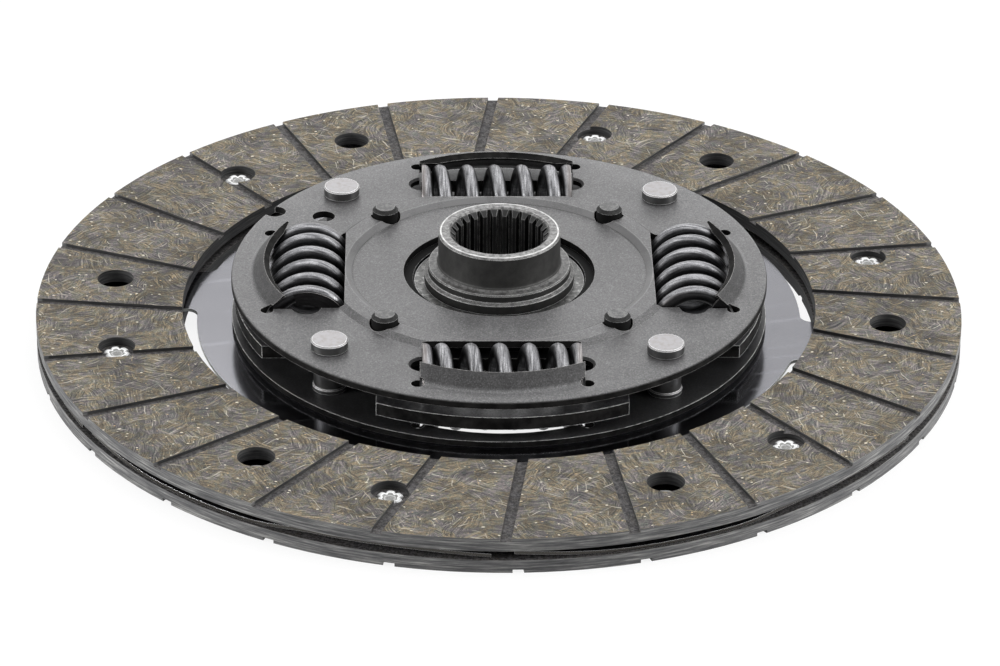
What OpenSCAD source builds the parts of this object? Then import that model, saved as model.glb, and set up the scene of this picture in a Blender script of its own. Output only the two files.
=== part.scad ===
// Clutch disc: sprung hub, friction facings and torsion damper.
// Millimetres. The disc axis is Z and z = 0 is the lower friction face.

/* [Friction facings] */
// Outer radius of the two facings
facing_r = 120; // [112:1:140]
// Radius of the opening inside the facings
facing_bore_r = 82.2; // [80.6:0.1:84]
// Thickness of one facing
facing_t = 3.5; // [3.2:0.1:4.2]
// Thickness of the sprung pair, face to face
pack_t = 9.5; // [8.4:0.1:11]
// Number of grooves across each face
groove_n = 24; // [12:1:30]
// Width of a groove
groove_w = 2.8; // [1.5:0.1:4]
// Depth of a groove
groove_d = 0.9; // [0.4:0.1:1.4]
// Distance from the disc axis to a groove's centre line
groove_offset = 15; // [0:1:25]
// Angle of the first upper groove at the outer edge
upper_groove_angle = 1; // [-7:0.5:7]
// Angle of the first lower groove at the outer edge
lower_groove_angle = 2.5; // [-7:0.5:7]

/* [Facing rivets] */
// Radius of the circle the facing rivets stand on
rivet_circle_r = 101; // [96:0.5:108]
// Angle of the first rivet of the upper facing
upper_rivet_angle = 15; // [12:0.5:18]
// Angle of the first rivet of the lower facing
lower_rivet_angle = -6; // [-9:0.5:-4]
// Radius of the counterbores and of the clearance holes
rivet_hole_r = 4.75; // [4.4:0.05:5.5]
// Facing left under a counterbore
rivet_grip_t = 1.1; // [0.8:0.1:1.6]
// Radius of a rivet's shank
rivet_shank_r = 1.9; // [1.5:0.1:2.2]
// Radius of a rivet's heads
rivet_head_r = 3.45; // [3:0.05:4]
// Thickness of a rivet's heads
rivet_head_t = 0.75; // [0.5:0.05:0.9]
// Radius of the hole in a rolled rivet end
rivet_bore_r = 1.15; // [0.8:0.05:1.4]
// Radius of the flat top of a rolled rivet end
rivet_crown_r = 2.5; // [2.3:0.05:2.8]
// Number of splits in a rolled rivet end
rivet_splits = 7; // [5:1:8]
// Radius of a split
rivet_split_r = 0.75; // [0.4:0.05:0.8]

/* [Driven plate] */
// Thickness of the driven plate
driven_t = 0.9; // [0.7:0.05:1.1]
// Radius of the driven plate's solid rim
driven_r = 78.5; // [76:0.5:79]
// Radius of the driven plate's opening
driven_bore_r = 48; // [47:0.5:50]
// Angle of the gap between two paddles
paddle_gap_angle = 30.7; // [28:0.1:33]
// Width of the gap between two paddles
paddle_gap_w = 5.6; // [3:0.1:9]
// Inner radius of the paddles
paddle_bore_r = 85; // [84:0.5:88]
// Distance from a paddle's edge to the facing's edge
paddle_inset = 0.7; // [0.3:0.1:3]
// Angle of the middle of the first neck
neck_angle = -8.9; // [-10:0.1:-8]
// Width of a neck
neck_w = 20.6; // [16:0.1:24]
// Radius of the fillets at a neck's foot
neck_fillet_r = 3; // [1:0.5:4]
// Angle of a wave's flat crest, on each side of its rivet
crest_angle = 5; // [3:0.5:6]

/* [Retainer plates] */
// Width of the rim outside the bends of the lower plate's lips
retainer_rim_w = 3.2; // [2.4:0.1:5]
// Thickness of a retainer plate
retainer_t = 1.9; // [1.6:0.1:2.2]
// Space between the two retainer plates
retainer_gap = 9.25; // [8.8:0.05:10.5]
// Radius of the upper plate's opening
upper_bore_r = 24.8; // [23.5:0.1:26]
// Radius of the lower plate's opening
lower_bore_r = 21.5; // [21:0.1:22.2]
// Inner radius of the raised bead
bead_in_r = 38; // [37:0.5:38.5]
// Outer radius of the raised bead
bead_out_r = 46; // [45.5:0.5:47]
// Height of the raised bead
bead_h = 1.2; // [0.8:0.1:1.6]
// Width of a bead's slope
bead_slope_w = 1.9; // [0.5:0.1:2.2]
// Radius of the rounded outer edge
retainer_edge_r = 0.6; // [0.2:0.1:0.8]

/* [Spring windows] */
// Angle of the middle of the first window
window_turn = 1.1; // [-2:0.1:2]
// Distance from a spring's axis in to its window's inner edge
window_reach = 9.7; // [9.1:0.1:10.2]
// Clearance between a spring's end and its window
window_play = 0.1; // [0.05:0.05:0.3]
// Radius of the bulge in each end of a window
bulge_r = 3.3; // [2.5:0.1:4]
// Distance from a window's end in to the centre of its bulge
bulge_inset = 0.4; // [0:0.1:1]
// Depth of the dished edge around a bulge
bulge_dish = 0.6; // [0.3:0.1:1.2]
// Angle of the dished edge to the plate
dish_angle = 45; // [30:1:60]
// Distance from a spring's axis out to the start of an upper lip's bend
upper_lip_reach = 15.55; // [14.9:0.05:16.4]
// Distance from a spring's axis out to the start of a lower lip's bend
lower_lip_reach = 16.6; // [14.9:0.1:16.9]
// Distance from the disc axis to the centre of a lip's curve
lip_centre = 20; // [0:1:25]
// Inside radius of a lip's bend
lip_bend_r = 2; // [1:0.1:3]
// Angle of a lip to its plate
lip_angle = 50; // [35:1:60]
// Straight length of a lip past its bend
lip_length = 4.2; // [2:0.1:4.6]
// Half of a lip's length along the window
lip_half = 20.6; // [19:0.1:21]
// Radius of the relief hole at each end of a lip
relief_r = 1.7; // [1.2:0.1:2.2]

/* [Torsion springs] */
// Distance from the disc axis to a spring's own axis
spring_r = 49.6; // [49:0.1:51.5]
// Length of a spring
spring_length = 39.9; // [38:0.1:41]
// Outer diameter of a spring
spring_d = 22; // [20:0.1:22.2]
// Diameter of the spring wire
wire_d = 3.9; // [3:0.1:4.2]
// Turns of a spring from tip to tip
spring_turns = 6.7; // [5.7:0.1:6.8]
// Thickness left at the tip of a ground end
tip_t = 1.2; // [0.8:0.1:1.8]
// Width of the gap between a closed end coil and the next one
coil_gap = 0.12; // [0.05:0.01:0.3]

/* [Hub] */
// Height of the hub's top above the lower friction face
hub_top = 30.05; // [26:0.05:34]
// Height of the hub's foot above the lower friction face
hub_foot = 0.6; // [0.4:0.1:2]
// Radius of the upper collar
collar_r = 15.8; // [15:0.1:16.5]
// Radius of the shoulder ring
shoulder_r = 18.5; // [17.5:0.1:18.9]
// Height of the shoulder ring's top
shoulder_top = 20.7; // [20.2:0.05:22]
// Height of the shoulder ring
shoulder_h = 2; // [1:0.1:2.4]
// Radius of the seat under the shoulder ring
seat_r = 19.4; // [19.1:0.1:19.8]
// Radius of the hub's lower neck
neck_r = 17.5; // [16.6:0.1:18.5]
// Radius of the hub's foot
foot_r = 15.5; // [15:0.1:16.2]
// Height of the hub's foot
foot_h = 3; // [1.5:0.1:3.4]
// Radius of the toothed band that carries the flange
band_r = 21.6; // [21:0.1:22]
// Depth of the band's teeth
band_tooth_h = 1.6; // [1:0.1:2]
// Number of the band's teeth
band_teeth = 16; // [12:1:24]
// Radius of the ledge under the flange
ledge_r = 22.6; // [22.2:0.1:23]
// Thickness of the ledge under the flange
ledge_t = 1.3; // [1:0.1:1.4]
// Width of the machined edge chamfers
hub_chamfer = 0.5; // [0.2:0.1:0.8]
// Radius of the fillet at the collar's foot
collar_fillet_r = 1.2; // [0.4:0.1:1.6]

/* [Hub spline] */
// Number of spline teeth
spline_n = 28; // [20:1:32]
// Radius at the tips of the spline teeth
spline_tip_r = 11.4; // [10.5:0.1:11.8]
// Radius at the roots of the spline teeth
spline_root_r = 12.8; // [12.4:0.1:13.1]
// Width of a tooth space at its root
space_root_w = 0.95; // [0.6:0.05:1.2]
// Width of a tooth space at its mouth
space_mouth_w = 1.5; // [1:0.05:1.7]
// Radius of the chamfered spline mouth
mouth_r = 13.2; // [13.1:0.1:14.2]

/* [Hub flange] */
// Thickness of the flange
flange_t = 3.5; // [3:0.1:4]
// Half of an arm's width
arm_half_w = 31.6; // [30:0.1:32.4]
// Width of an arm's rim outside its window
arm_rim_w = 7.6; // [6:0.1:7.9]
// Radius of the corners inside the flange's windows
flange_corner_r = 0.6; // [0.3:0.1:0.6]

/* [Stop pins] */
// Distance from the retainer plates' edge in to a stop pin's axis
pin_inset = 9.5; // [8.6:0.1:9.9]
// Angle of the first stop pin
pin_angle = 44.7; // [42:0.1:48]
// Radius of a stop pin between the plates
pin_r = 4.4; // [3.8:0.1:4.6]
// Radius of a pin's riveted ends inside the plates
pin_end_r = 3.2; // [2.4:0.1:3.5]
// Radius of a pin's heads
pin_head_r = 4.7; // [4.3:0.1:5]
// Height of a pin's upper head
pin_head_h = 2.7; // [1.5:0.1:3]
// Height of a pin's lower head
pin_foot_h = 1.9; // [1:0.1:2.4]
// Height of the collar at a pin's foot
pin_collar_h = 1; // [0.5:0.1:2]

/* [Friction device] */
// Radius of the circle the lugs stand on
lug_circle_r = 41.8; // [41.5:0.1:42.3]
// Angle of the first lug
lug_angle = 46.2; // [44:0.1:47]
// Radius of a lug
lug_r = 3.4; // [2.8:0.1:3.5]
// Radius of a lug's flat top
lug_top_r = 2.5; // [1.5:0.1:2.8]
// Height of a lug above the plate around it
lug_h = 2.3; // [1:0.1:2.8]
// Height of a lug's bevel
lug_bevel_h = 0.9; // [0.6:0.1:1.6]
// Radius of the holes the lugs stand in
lug_hole_r = 3.95; // [3.9:0.05:4.1]
// Thickness of the friction ring
friction_ring_t = 1.85; // [1.5:0.05:2]
// Outer radius of the friction ring
friction_ring_r = 36.5; // [34:0.5:37]
// Thickness of the lower friction washer
friction_washer_t = 1.3; // [1:0.1:1.6]
// Outer radius of the lower friction washer
friction_washer_r = 35; // [33:0.5:37]
// Thickness of the two disc springs
disc_spring_t = 0.7; // [0.5:0.05:0.8]
// Outer radius of the two disc springs
disc_spring_r = 34; // [32:0.5:34.5]
// Inner radius of the lower disc spring and friction washer
disc_spring_bore_r = 25.5; // [25:0.5:28]
// Outer radius of the retaining collar on the hub
retaining_r = 22; // [21.5:0.1:22.2]
// Height of the retaining collar
retaining_h = 2.28; // [1.5:0.02:2.6]
// Width of the centring bush's flange
bush_flange_w = 2.2; // [1:0.1:3]
// Thickness of the centring bush's flange
bush_flange_t = 1.2; // [0.8:0.1:1.4]

/* [Locating marks in the upper plate] */
// Angle of the round hole
mark_hole_angle = 147.3; // [146:0.1:148]
// Distance from the plate's edge in to the centre of the round hole
mark_hole_inset = 14.1; // [13.4:0.1:14.9]
// Radius of the round hole
mark_hole_r = 3; // [1.5:0.05:3.2]
// Angle of the rim notch
rim_notch_angle = 151.4; // [149:0.1:153]
// Distance from the plate's edge in to the centre of the rim notch
rim_notch_inset = 1.6; // [0:0.1:2.4]
// Radius of the rim notch
rim_notch_r = 2.9; // [1.5:0.1:3.2]

/* [Hidden] */
$fn = 96;
// Margin by which a cutting solid passes the face it cuts
over = 1;
// Clearance of a running fit, on the radius
running = 0.05;
// Clearance between pieces that pass through each other and don't touch
slack = 0.3;
// Width of the small broken edges of turned pieces
broken_edge = 0.3;
// Number of cushion paddles, each held by one upper and one lower rivet
paddle_n = 6;
// Number of torsion springs, of the arms around them and of the stop pins
spring_n = 4;
// How far each spring is rolled about its own axis
spring_roll = [-198, 0, -108, 0];

// Distances from the disc axis, worked out from the circle the springs stand on
window_in = spring_r - window_reach;
upper_lip_start = spring_r + upper_lip_reach;
lower_lip_start = spring_r + lower_lip_reach;
retainer_r = lower_lip_start + retainer_rim_w;
pin_circle_r = retainer_r - pin_inset;
// Pockets of the flange, which clear the springs, and the arms around them
pocket_in = spring_r - spring_d / 2 - slack;
pocket_out = spring_r + spring_d / 2 + slack;
arm_r = pocket_out + arm_rim_w;

// Heights worked out from the stack
mid_z = pack_t / 2;
driven_z = mid_z - driven_t / 2;
lower_z = mid_z + driven_t / 2;
cavity_z = lower_z + retainer_t;
upper_z = cavity_z + retainer_gap;
upper_top = upper_z + retainer_t;
axis_z = cavity_z + retainer_gap / 2;
flange_z = axis_z - flange_t / 2;
flange_top = axis_z + flange_t / 2;
band_root_r = band_r - band_tooth_h;
pitch = 360 / spring_n;

// Points on an arc about [x, y]
function arc(x, y, r, a0, a1, n) =
  [for (i = [0 : n]) [x + r * cos(a0 + (a1 - a0) * i / n), y + r * sin(a0 + (a1 - a0) * i / n)]];

// Copies turned about the disc axis
module around(n, first = 0) {
  for (i = [0 : n - 1])
    rotate([0, 0, first + 360 * i / n])
      children();
}

// Flat ring from z to z + h
module ring(r_out, r_in, z, h) {
  translate([0, 0, z])
    difference() {
      cylinder(r = r_out, h = h);
      translate([0, 0, -over])
        cylinder(r = r_in, h = h + 2 * over);
    }
}

// Round hole or post on a circle of radius at
module post(at, r, z, h) {
  translate([at, 0, z])
    cylinder(r = r, h = h, $fn = 48);
}

// Friction facings

// Straight grooves that pass the axis at groove_offset, cut down from z
module grooves(first, hand) {
  lead = asin(groove_offset / facing_r);
  around(groove_n, first - hand * lead)
    translate([0, hand * groove_offset - groove_w / 2, 0])
      cube([facing_r + over, groove_w, groove_d + over]);
}

// One facing with its friction face up at z = facing_t
module facing(groove_angle, hand, bored_angle, clear_angle) {
  difference() {
    ring(facing_r, facing_bore_r, 0, facing_t);
    translate([0, 0, facing_t - groove_d])
      grooves(groove_angle, hand);
    around(paddle_n, bored_angle) {
      post(rivet_circle_r, rivet_hole_r, rivet_grip_t, facing_t);
      post(rivet_circle_r, rivet_shank_r, -over, facing_t);
    }
    around(paddle_n, clear_angle)
      post(rivet_circle_r, rivet_hole_r, -over, facing_t + 2 * over);
  }
}

module upper_facing() {
  color([0.36, 0.31, 0.24])
    translate([0, 0, pack_t - facing_t])
      facing(upper_groove_angle, 1, upper_rivet_angle, lower_rivet_angle);
}

module lower_facing() {
  color([0.34, 0.30, 0.24])
    translate([0, 0, facing_t])
      mirror([0, 0, 1])
        facing(lower_groove_angle, -1, lower_rivet_angle, upper_rivet_angle);
}

// Facing rivets

// Tubular rivet whose rolled end is split into petals, seated on z = 0 and clamping down to -grip
module facing_rivet(grip) {
  difference() {
    union() {
      translate([0, 0, -grip - rivet_head_t])
        cylinder(r = rivet_head_r, h = rivet_head_t, $fn = 48);
      translate([0, 0, -grip - rivet_head_t / 2])
        cylinder(r = rivet_shank_r, h = grip + rivet_head_t, $fn = 48);
      cylinder(r1 = rivet_head_r, r2 = rivet_crown_r, h = rivet_head_t, $fn = 48);
    }
    translate([0, 0, -grip / 2])
      cylinder(r = rivet_bore_r, h = grip + rivet_head_t + over, $fn = 48);
    around(rivet_splits)
      translate([rivet_head_r + rivet_split_r / 5, 0, -grip / 2])
        cylinder(r = rivet_split_r, h = grip + rivet_head_t, $fn = 24);
  }
}

module upper_facing_rivets() {
  color([0.78, 0.79, 0.80])
    around(paddle_n, upper_rivet_angle)
      translate([rivet_circle_r, 0, pack_t - facing_t + rivet_grip_t])
        facing_rivet(rivet_grip_t + driven_t);
}

module lower_facing_rivets() {
  color([0.20, 0.20, 0.21])
    around(paddle_n, lower_rivet_angle)
      translate([rivet_circle_r, 0, facing_t - rivet_grip_t])
        mirror([0, 0, 1])
          facing_rivet(rivet_grip_t + driven_t);
}

// Driven plate with waved paddles

paddle_step = 360 / paddle_n;
paddle_mid = paddle_gap_angle - paddle_step / 2;
paddle_r = facing_r - paddle_inset;
neck_half_angle = asin(neck_w / 2 / driven_r);
wave_h = mid_z - facing_t - driven_t / 2;
// Along a neck the sheet is level out to here, slopes down, and then lies flat under its paddle
level_r = driven_r + 2;
slope_end_r = paddle_bore_r + 1.5;
neck_end_r = slope_end_r + 3;

// Eased slope from angle a0 to a1, from -wave_h up for rising = 1 and from wave_h down for rising = -1
slope_steps = 7;
function slope(a0, a1, rising) =
  [for (i = [0 : slope_steps])
    let (share = i / slope_steps)
    [rivet_circle_r * sin(a0 + (a1 - a0) * share - paddle_mid), -rising * wave_h * cos(180 * share)]];

// The sheet's middle along a paddle, down across the neck and up at the upper rivet
module waved_sheet() {
  rise_from = neck_angle + neck_half_angle;
  rise_to = upper_rivet_angle - crest_angle;
  fall_from = upper_rivet_angle + crest_angle;
  fall_to = neck_angle - neck_half_angle + paddle_step;
  line = concat(slope(fall_from - paddle_step, fall_to - paddle_step, -1),
                slope(rise_from, rise_to, 1),
                slope(fall_from, fall_to, -1));
  last = len(line) - 1;
  h = driven_t / 2;
  rotate([90, 0, 90])
    linear_extrude(height = facing_r)
      polygon(concat([for (p = line) p - [0, h]], [for (i = [last : -1 : 0]) line[i] + [0, h]]));
}

module paddle_outline() {
  half = paddle_step / 2;
  far = facing_r * 1.3;
  gap_shift = paddle_gap_w / 2 / sin(half);
  difference() {
    intersection() {
      circle(r = paddle_r, $fn = 180);
      polygon([[gap_shift, 0],
               [gap_shift + far * cos(half), -far * sin(half)],
               [gap_shift + far * cos(half), far * sin(half)]]);
    }
    circle(r = paddle_bore_r, $fn = 180);
  }
}

module paddle() {
  intersection() {
    waved_sheet();
    translate([0, 0, -over - wave_h])
      linear_extrude(height = 2 * (over + wave_h))
        paddle_outline();
  }
}

// Neck that slopes from the level rim down to its paddle
module neck() {
  h = driven_t / 2;
  rotate([90, 0, 0])
    translate([0, 0, -neck_w / 2])
      linear_extrude(height = neck_w)
        polygon([[driven_r - over, -h], [level_r, -h], [slope_end_r, -wave_h - h], [neck_end_r, -wave_h - h],
                 [neck_end_r, h - wave_h], [slope_end_r, h - wave_h], [level_r, h], [driven_r - over, h]]);
}

// Fillet between the rim and one side of a neck
module neck_fillet() {
  // The fillet's circle dips this far into the rim, so that it crosses the rim's edge cleanly
  bite = 0.03;
  cy = neck_w / 2 + neck_fillet_r;
  cx = sqrt(pow(driven_r + neck_fillet_r, 2) - cy * cy) - bite;
  difference() {
    polygon([[0, 0], [cx, 0], [cx, cy]]);
    translate([cx, cy])
      circle(r = neck_fillet_r, $fn = 48);
  }
}

module driven_plate() {
  window_half = spring_length / 2 + bulge_r + slack;
  color([0.55, 0.56, 0.59])
    translate([0, 0, mid_z]) {
      translate([0, 0, -driven_t / 2])
        linear_extrude(height = driven_t)
          difference() {
            union() {
              circle(r = driven_r, $fn = 180);
              for (i = [0 : paddle_n - 1], s = [0, 1])
                rotate(neck_angle + i * paddle_step)
                  mirror([0, s])
                    neck_fillet();
            }
            circle(r = driven_bore_r);
            intersection() {
              circle(r = lower_lip_start, $fn = 180);
              for (i = [0 : spring_n - 1])
                rotate(window_turn + i * pitch)
                  translate([0, -window_half])
                    square([lower_lip_start, 2 * window_half]);
            }
            for (i = [0 : spring_n - 1])
              rotate(pin_angle + i * pitch)
                translate([pin_circle_r, 0])
                  circle(r = pin_end_r, $fn = 48);
          }
      difference() {
        union() {
          around(paddle_n, neck_angle)
            neck();
          around(paddle_n, paddle_mid)
            paddle();
        }
        around(paddle_n, upper_rivet_angle)
          post(rivet_circle_r, rivet_shank_r, -pack_t, 2 * pack_t);
        around(paddle_n, lower_rivet_angle)
          post(rivet_circle_r, rivet_shank_r, -pack_t, 2 * pack_t);
      }
    }
}

// Retainer plates

// Half section of a plate whose inner face lies on z = 0, with its bead
module retainer_section(bore_r) {
  t = retainer_t;
  e = retainer_edge_r;
  polygon(concat(
    [[bore_r, 0], [bead_in_r, 0], [bead_in_r + bead_slope_w, bead_h],
     [bead_out_r - bead_slope_w, bead_h], [bead_out_r, 0]],
    [[retainer_r, 0]],
    arc(retainer_r - e, t - e, e, 0, 90, 4),
    [[bead_out_r, t], [bead_out_r - bead_slope_w, t + bead_h],
     [bead_in_r + bead_slope_w, t + bead_h], [bead_in_r, t], [bore_r, t]]));
}

// Spring window, seen from above along +X
module window_outline(lip_start) {
  half = spring_length / 2 + window_play;
  // The window is as wide as its lip from here out, clear of the bulges
  wide_x = spring_r + bulge_r * 0.7;
  intersection() {
    union() {
      translate([window_in, -half])
        square([lip_start - window_in, 2 * half]);
      translate([wide_x, -lip_half])
        square([lip_start - wide_x, 2 * lip_half]);
    }
    translate([lip_centre, 0])
      circle(r = lip_start - lip_centre, $fn = 180);
  }
  for (s = [-1, 1])
    translate([spring_r, s * (half - bulge_inset)])
      circle(r = bulge_r, $fn = 48);
}

// Round room that a spring takes up under its window
module spring_room(length) {
  translate([spring_r, 0, -retainer_gap / 2])
    rotate([90, 0, 0])
      cylinder(r = spring_d / 2 + slack, h = length, center = true);
}

module retainer_window(lip_start) {
  dish_h = bulge_dish + over;
  spring_room(spring_length + 2 * window_play);
  translate([0, 0, -over])
    linear_extrude(height = retainer_t + bead_h + 2 * over)
      window_outline(lip_start);
  for (s = [-1, 1])
    translate([spring_r, s * (spring_length / 2 + window_play - bulge_inset), retainer_t - bulge_dish])
      cylinder(r1 = bulge_r, r2 = bulge_r + dish_h / tan(dish_angle), h = dish_h, $fn = 48);
}

// Lip bent away from the plate and in over the spring, coined to its round
module retainer_lip(lip_start) {
  x0 = lip_start - lip_centre;
  out_r = lip_bend_r + retainer_t;
  cz = retainer_t + lip_bend_r;
  reach = [-lip_length * cos(lip_angle), lip_length * sin(lip_angle)];
  top = arc(x0, cz, lip_bend_r, -90, -90 - lip_angle, 5);
  under = arc(x0, cz, out_r, -90 - lip_angle, -90, 5);
  difference() {
    intersection() {
      translate([lip_centre, 0, 0])
        rotate_extrude($fn = 180)
          polygon(concat(top, [top[5] + reach, under[0] + reach], under));
      translate([spring_r, -lip_half, -over])
        cube([spring_r, 2 * lip_half, spring_d]);
    }
    spring_room(2 * lip_half + 2 * over);
  }
}

// Round hole that relieves the end of a lip's bend
module lip_relief(lip_start) {
  root_x = lip_centre + sqrt(pow(lip_start - lip_centre, 2) - lip_half * lip_half);
  // The hole takes in the corner where the lip leaves the plate
  inset = relief_r / 3;
  for (s = [-1, 1])
    translate([root_x - inset, s * (lip_half + inset), -over])
      cylinder(r = relief_r, h = retainer_t + 2 * over, $fn = 32);
}

module retainer_plate(bore_r, lip_start) {
  difference() {
    union() {
      difference() {
        rotate_extrude($fn = 180)
          retainer_section(bore_r);
        around(spring_n, window_turn)
          retainer_window(lip_start);
      }
      around(spring_n, window_turn)
        retainer_lip(lip_start);
    }
    around(spring_n, window_turn)
      lip_relief(lip_start);
    around(spring_n, pin_angle)
      post(pin_circle_r, pin_end_r, -over, retainer_t + 2 * over);
  }
}

module upper_retainer_plate() {
  color([0.30, 0.30, 0.31])
    translate([0, 0, upper_z])
      difference() {
        retainer_plate(upper_bore_r, upper_lip_start);
        around(spring_n, lug_angle)
          post(lug_circle_r, lug_hole_r, -over, retainer_t + bead_h + 2 * over);
        rotate([0, 0, mark_hole_angle])
          post(retainer_r - mark_hole_inset, mark_hole_r, -over, retainer_t + 2 * over);
        rotate([0, 0, rim_notch_angle])
          post(retainer_r - rim_notch_inset, rim_notch_r, -over, retainer_t + 2 * over);
      }
}

module lower_retainer_plate() {
  color([0.26, 0.26, 0.27])
    translate([0, 0, cavity_z])
      mirror([0, 0, 1])
        retainer_plate(lower_bore_r, lower_lip_start);
}

// Torsion springs

// Distance along the spring axis after t turns from the tip, for the first half of the spring
coil_mean_r = (spring_d - wire_d) / 2;
tip_x = spring_length / 2 + wire_d / 2 - tip_t;
closed_pitch = wire_d + coil_gap;
open_turns = spring_turns / 2 - 1;
// Part of a turn over which the pitch opens
easing = 0.3;
open_pitch = (tip_x - closed_pitch * (1 + easing / 2)) / (open_turns - easing / 2);
function half_way(t) = t < 1 ? closed_pitch * t
  : t < 1 + easing ? closed_pitch * t + (open_pitch - closed_pitch) * pow(t - 1, 2) / easing / 2
  : closed_pitch + open_pitch * (t - 1) - (open_pitch - closed_pitch) * easing / 2;
function coil_x(t) = t < spring_turns / 2 ? half_way(t) - tip_x : tip_x - half_way(spring_turns - t);

wire_sides = 8;
rings_a_turn = 16;
// One ring of points around the wire, with one longer side where the end is ground flat
function wire_ring(t) =
  let (a = 360 * t, x = coil_x(t), end = x < 0 ? -1 : 1)
  let (reach = (spring_length / 2 - abs(x)) / (wire_d / 2))
  let (flat = max(180 / wire_sides, reach < 1 ? acos(reach) : 0))
  [for (i = [0 : wire_sides - 1])
    let (k = x < 0 ? i : (i + wire_sides / 2) % wire_sides)
    let (w = 90 * end + flat + (360 - 2 * flat) * k / (wire_sides - 1))
    let (r = coil_mean_r + wire_d / 2 * cos(w))
    [x + wire_d / 2 * sin(w), r * cos(a), r * sin(a)]];

module coil_spring() {
  count = round(spring_turns * rings_a_turn);
  n = wire_sides;
  points = [for (k = [0 : count], p = wire_ring(spring_turns * k / count)) p];
  sides = [for (k = [0 : count - 1], i = [0 : n - 1])
    [k * n + i, k * n + (i + 1) % n, (k + 1) * n + (i + 1) % n, (k + 1) * n + i]];
  first = [for (i = [n - 1 : -1 : 0]) i];
  last = [for (i = [0 : n - 1]) count * n + i];
  polyhedron(points, concat([first], sides, [last]), convexity = 10);
}

module torsion_spring(i) {
  color([0.34, 0.34, 0.36])
    rotate([0, 0, window_turn + pitch * i])
      translate([spring_r, 0, axis_z])
        rotate([0, 0, 90])
          rotate([90 - 180 * (spring_turns - 6) + spring_roll[i], 0, 0])
            coil_spring();
}

// Hub

module hub_section() {
  c = hub_chamfer;
  f = collar_fillet_r;
  e = broken_edge;
  core_r = spline_tip_r - over;
  shelf = shoulder_top - shoulder_h;
  polygon(concat(
    [[core_r, hub_foot], [foot_r - c, hub_foot], [foot_r, hub_foot + c],
     [foot_r, hub_foot + foot_h], [neck_r, hub_foot + foot_h + c],
     [neck_r, flange_z - ledge_t], [ledge_r, flange_z - ledge_t], [ledge_r, flange_z],
     [band_r, flange_z], [band_r, flange_top], [seat_r, flange_top],
     [seat_r, shelf - 2 * e], [shoulder_r, shelf],
     [shoulder_r, shoulder_top - e], [shoulder_r - e, shoulder_top]],
    arc(collar_r + f, shoulder_top + f, f, 270, 180, 4),
    [[collar_r, hub_top - c], [collar_r - c, hub_top], [core_r, hub_top]]));
}

// Everything the gearbox shaft takes up: a round bore with a space for each of its teeth
module spline_outline() {
  circle(r = spline_tip_r);
  for (i = [0 : spline_n - 1])
    rotate(360 * i / spline_n)
      polygon([[spline_tip_r - over, -space_mouth_w / 2], [spline_tip_r, -space_mouth_w / 2],
               [spline_root_r, -space_root_w / 2], [spline_root_r, space_root_w / 2],
               [spline_tip_r, space_mouth_w / 2], [spline_tip_r - over, space_mouth_w / 2]]);
}

// Trapezoid teeth standing out to r, each as wide at its root as the gaps beside it
module band_outline(r, spread) {
  circle(r = band_root_r + spread);
  step = 360 / band_teeth;
  far = r + spread + over;
  for (i = [0 : band_teeth - 1])
    rotate(step * i)
      intersection() {
        circle(r = r + spread);
        polygon([[0, 0], [far, -far * tan(step / 4) - spread], [far, far * tan(step / 4) + spread]]);
      }
}

module hub() {
  depth = mouth_r - spline_tip_r + over;
  color([0.42, 0.42, 0.42])
    difference() {
      rotate_extrude($fn = 180)
        hub_section();
      translate([0, 0, hub_foot - over])
        linear_extrude(height = hub_top - hub_foot + 2 * over)
          spline_outline();
      translate([0, 0, hub_top + over - depth])
        cylinder(r1 = spline_tip_r, r2 = mouth_r + over, h = depth);
      translate([0, 0, hub_foot - over])
        cylinder(r1 = mouth_r + over, r2 = spline_tip_r, h = depth);
      translate([0, 0, flange_z])
        linear_extrude(height = flange_t)
          difference() {
            circle(r = band_r + over);
            band_outline(band_r, 0);
          }
    }
}

module retaining_collar() {
  color([0.55, 0.55, 0.54])
    ring(retaining_r, seat_r, flange_top, retaining_h);
}

// Hub flange

// Window from x0 out to x1 whose outer corners are rounded
module flange_window(x0, x1, half, corner_r) {
  translate([x0, -half])
    square([x1 - x0 - corner_r, 2 * half]);
  translate([x1 - 2 * corner_r, corner_r - half])
    square([2 * corner_r, 2 * half - 2 * corner_r]);
  for (s = [-1, 1])
    translate([x1 - corner_r, s * (half - corner_r)])
      circle(r = corner_r, $fn = 32);
}

module hub_flange() {
  window_half = spring_length / 2 + window_play;
  color([0.33, 0.33, 0.34])
    translate([0, 0, flange_z])
      linear_extrude(height = flange_t)
        difference() {
          intersection() {
            circle(r = arm_r, $fn = 180);
            union()
              for (i = [0 : spring_n / 2 - 1])
                rotate(window_turn + i * pitch)
                  translate([-arm_r, -arm_half_w])
                    square([2 * arm_r, 2 * arm_half_w]);
          }
          band_outline(band_r, running);
          for (i = [0 : spring_n - 1])
            rotate(window_turn + i * pitch)
              flange_window(pocket_in, pocket_out, window_half, flange_corner_r);
        }
}

// Stop pins

module stop_pin(i) {
  e = broken_edge;
  foot = driven_z - pin_foot_h;
  waist_z = cavity_z + pin_collar_h;
  head_z = upper_top + pin_head_h;
  color([0.70, 0.69, 0.68])
    rotate([0, 0, pin_angle + pitch * i])
      translate([pin_circle_r, 0, 0])
        rotate_extrude($fn = 64)
          polygon([[0, foot], [pin_head_r - 3 * e, foot], [pin_head_r, foot + 3 * e], [pin_head_r, driven_z],
                   [pin_end_r, driven_z], [pin_end_r, cavity_z], [pin_r, cavity_z],
                   [pin_r, waist_z], [pin_r - e, waist_z + e],
                   [pin_r - e, upper_z], [pin_end_r, upper_z], [pin_end_r, upper_top],
                   [pin_head_r - e, upper_top], [pin_head_r, upper_top + e],
                   [pin_head_r, head_z - e], [pin_head_r - e, head_z], [0, head_z]]);
}

// Friction device

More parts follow.
